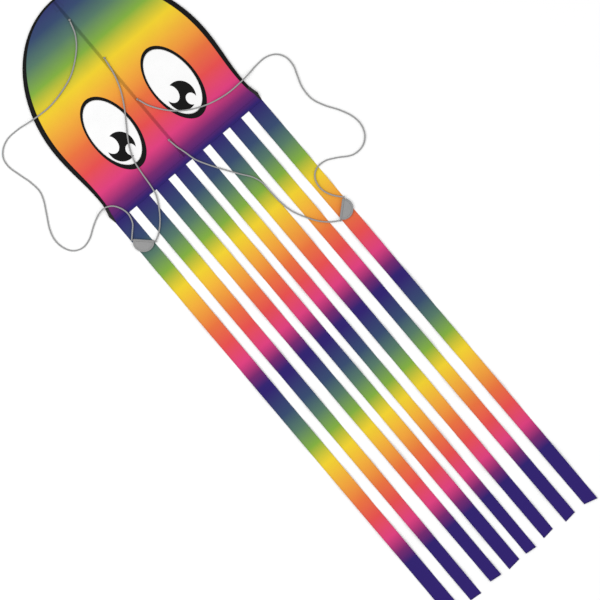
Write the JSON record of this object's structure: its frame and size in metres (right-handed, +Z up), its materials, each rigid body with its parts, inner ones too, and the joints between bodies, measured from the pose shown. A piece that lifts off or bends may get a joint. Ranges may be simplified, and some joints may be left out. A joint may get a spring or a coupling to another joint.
{
  "type": "octopus kite",
  "caption": "Dome-headed flat kite with cartoon eyes, rainbow sail on a bent hoop and spine, long ribbon tentacles, and two loose line loops with half-moon hand grips.",
  "frame": {"origin": "on the ground, under the middle of the kite's overall width and length, the loose lines left out", "axes": "+X to the right with the nose at the top, +Y from the tentacle ends to the nose, +Z up from the ground that the kite lies on, face up"},
  "size_m": [1.2657, 2.988, 0.0145],
  "materials": {
    "sail_fabric": "ripstop nylon dyed with a rainbow running down the spine, from indigo at the nose through green, yellow, orange and pink to violet at the hem",
    "tentacle_fabric": "ripstop nylon with the same rainbow run through twice, ending in indigo",
    "black_fabric": "black polyester taffeta, sewn",
    "white_fabric": "white ripstop applique",
    "webbing": "black woven reinforcement tape",
    "fibreglass": "pultruded fibreglass rod",
    "ferrule_metal": "drawn tube",
    "cap_vinyl": "soft vinyl",
    "line_braid": "soft grey braided cord",
    "grip_foam": "matt grey foam"
  },
  "bodies": {
    "kite": {"head_sail": "sail_fabric", "skirt_hem": "sail_fabric", "edge_sleeve": "black_fabric", "corner_tab_left": "webbing", "corner_tab_right": "webbing", "hoop_rod_left": "fibreglass", "hoop_rod_right": "fibreglass", "nose_ferrule": "ferrule_metal", "rod_end_cap_left": "cap_vinyl", "rod_end_cap_right": "cap_vinyl", "spine_rod": "fibreglass", "spine_sleeve": "black_fabric", "nose_pocket": "webbing", "spine_end_pocket": "webbing", "eye_outline_left": "black_fabric", "eye_outline_right": "black_fabric", "eye_white_left": "white_fabric", "eye_white_right": "white_fabric", "pupil_left": "black_fabric", "pupil_right": "black_fabric", "tentacle_1_upper": "tentacle_fabric", "tentacle_2_upper": "tentacle_fabric", "tentacle_3_upper": "tentacle_fabric", "tentacle_4_upper": "tentacle_fabric", "tentacle_5_upper": "tentacle_fabric", "tentacle_6_upper": "tentacle_fabric", "tentacle_7_upper": "tentacle_fabric", "tentacle_8_upper": "tentacle_fabric", "left_upper_knot": "line_braid", "left_lower_knot": "line_braid", "right_upper_knot": "line_braid", "right_lower_knot": "line_braid", "left_upper_line": "line_braid", "left_lower_line": "line_braid", "right_upper_line": "line_braid", "right_lower_line": "line_braid", "stopper_knots_left": "line_braid", "stopper_knots_right": "line_braid"},
    "tentacle_1": {"tentacle_1_lower": "tentacle_fabric"},
    "tentacle_2": {"tentacle_2_lower": "tentacle_fabric"},
    "tentacle_3": {"tentacle_3_lower": "tentacle_fabric"},
    "tentacle_4": {"tentacle_4_lower": "tentacle_fabric"},
    "tentacle_5": {"tentacle_5_lower": "tentacle_fabric"},
    "tentacle_6": {"tentacle_6_lower": "tentacle_fabric"},
    "tentacle_7": {"tentacle_7_lower": "tentacle_fabric"},
    "tentacle_8": {"tentacle_8_lower": "tentacle_fabric"},
    "grip_left": {"hand_grip_left": "grip_foam"},
    "grip_right": {"hand_grip_right": "grip_foam"}
  },
  "joints": [
    {"name": "tentacle_1_fold", "type": "hinge", "parent": "kite", "child": "tentacle_1", "pos_m": [-0.356, -0.012, 0.0008], "axis": [-1, 0, 0], "range_deg": [0, 120]},
    {"name": "tentacle_2_fold", "type": "hinge", "parent": "kite", "child": "tentacle_2", "pos_m": [-0.248, -0.012, 0.0008], "axis": [-1, 0, 0], "range_deg": [0, 120]},
    {"name": "tentacle_3_fold", "type": "hinge", "parent": "kite", "child": "tentacle_3", "pos_m": [-0.141, -0.012, 0.0008], "axis": [-1, 0, 0], "range_deg": [0, 120]},
    {"name": "tentacle_4_fold", "type": "hinge", "parent": "kite", "child": "tentacle_4", "pos_m": [-0.046, -0.012, 0.0008], "axis": [-1, 0, 0], "range_deg": [0, 120]},
    {"name": "tentacle_5_fold", "type": "hinge", "parent": "kite", "child": "tentacle_5", "pos_m": [0.0448, -0.012, 0.0008], "axis": [-1, 0, 0], "range_deg": [0, 120]},
    {"name": "tentacle_6_fold", "type": "hinge", "parent": "kite", "child": "tentacle_6", "pos_m": [0.1438, -0.012, 0.0008], "axis": [-1, 0, 0], "range_deg": [0, 120]},
    {"name": "tentacle_7_fold", "type": "hinge", "parent": "kite", "child": "tentacle_7", "pos_m": [0.2496, -0.012, 0.0008], "axis": [-1, 0, 0], "range_deg": [0, 120]},
    {"name": "tentacle_8_fold", "type": "hinge", "parent": "kite", "child": "tentacle_8", "pos_m": [0.3563, -0.012, 0.0008], "axis": [-1, 0, 0], "range_deg": [0, 120]},
    {"name": "grip_left_swing", "type": "hinge", "parent": "kite", "child": "grip_left", "pos_m": [-0.35, 0.5025, 0.0066], "axis": [-0.7193, 0.6947, 0], "range_deg": [0, 180]},
    {"name": "grip_right_swing", "type": "hinge", "parent": "kite", "child": "grip_right", "pos_m": [0.353, 0.08, 0.0066], "axis": [-0.7431, -0.6691, 0], "range_deg": [0, 180]}
  ]
}
